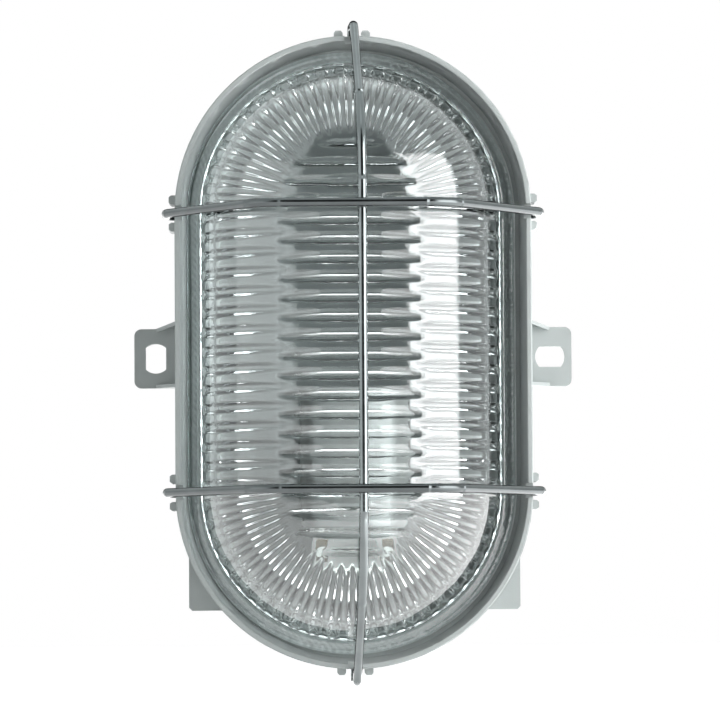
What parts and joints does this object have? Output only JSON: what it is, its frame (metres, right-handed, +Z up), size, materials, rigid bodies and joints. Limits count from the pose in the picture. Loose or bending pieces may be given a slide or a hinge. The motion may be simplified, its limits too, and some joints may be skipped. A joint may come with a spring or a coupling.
{
  "type": "bulkhead light",
  "caption": "Oval grey bulkhead light with a ribbed glass cover, a welded wire guard, a screw lampholder, fixing ears and cable entries at the lower corners.",
  "frame": {"origin": "centre of the flat rear face, on the wall", "axes": "+X to the right seen from the front, +Z up along the light, +Y into the wall"},
  "size_m": [0.1502, 0.09, 0.2242],
  "materials": {
    "grey_plastic": "satin moulded",
    "gasket_rubber": "matte",
    "clear_glass": "pressed, fire polished",
    "guard_steel": "bright zinc",
    "white_plastic": "semi gloss",
    "brass": "plain",
    "zinc_steel": "zinc plated",
    "brown_insulation": "satin",
    "blue_insulation": "satin"
  },
  "bodies": {
    "root": {"base_housing": "grey_plastic", "glass_gasket": "gasket_rubber", "glass_diffuser": "clear_glass", "guard_long_wire": "guard_steel", "guard_upper_wire": "guard_steel", "guard_lower_wire": "guard_steel", "lampholder_body": "white_plastic", "lampholder_base": "white_plastic", "screw_shell": "brass", "centre_contact": "brass", "shell_contact": "brass", "live_terminal": "brass", "neutral_terminal": "brass", "terminal_screws": "zinc_steel", "lampholder_bracket": "zinc_steel", "bracket_screws": "zinc_steel", "holder_screws": "zinc_steel", "terminal_block": "white_plastic", "terminal_block_tubes": "brass", "terminal_block_screws": "zinc_steel", "terminal_block_fixing": "zinc_steel", "live_lead": "brown_insulation", "neutral_lead": "blue_insulation", "left_cable_grommet": "gasket_rubber", "right_cable_grommet": "gasket_rubber"}
  },
  "joints": []
}
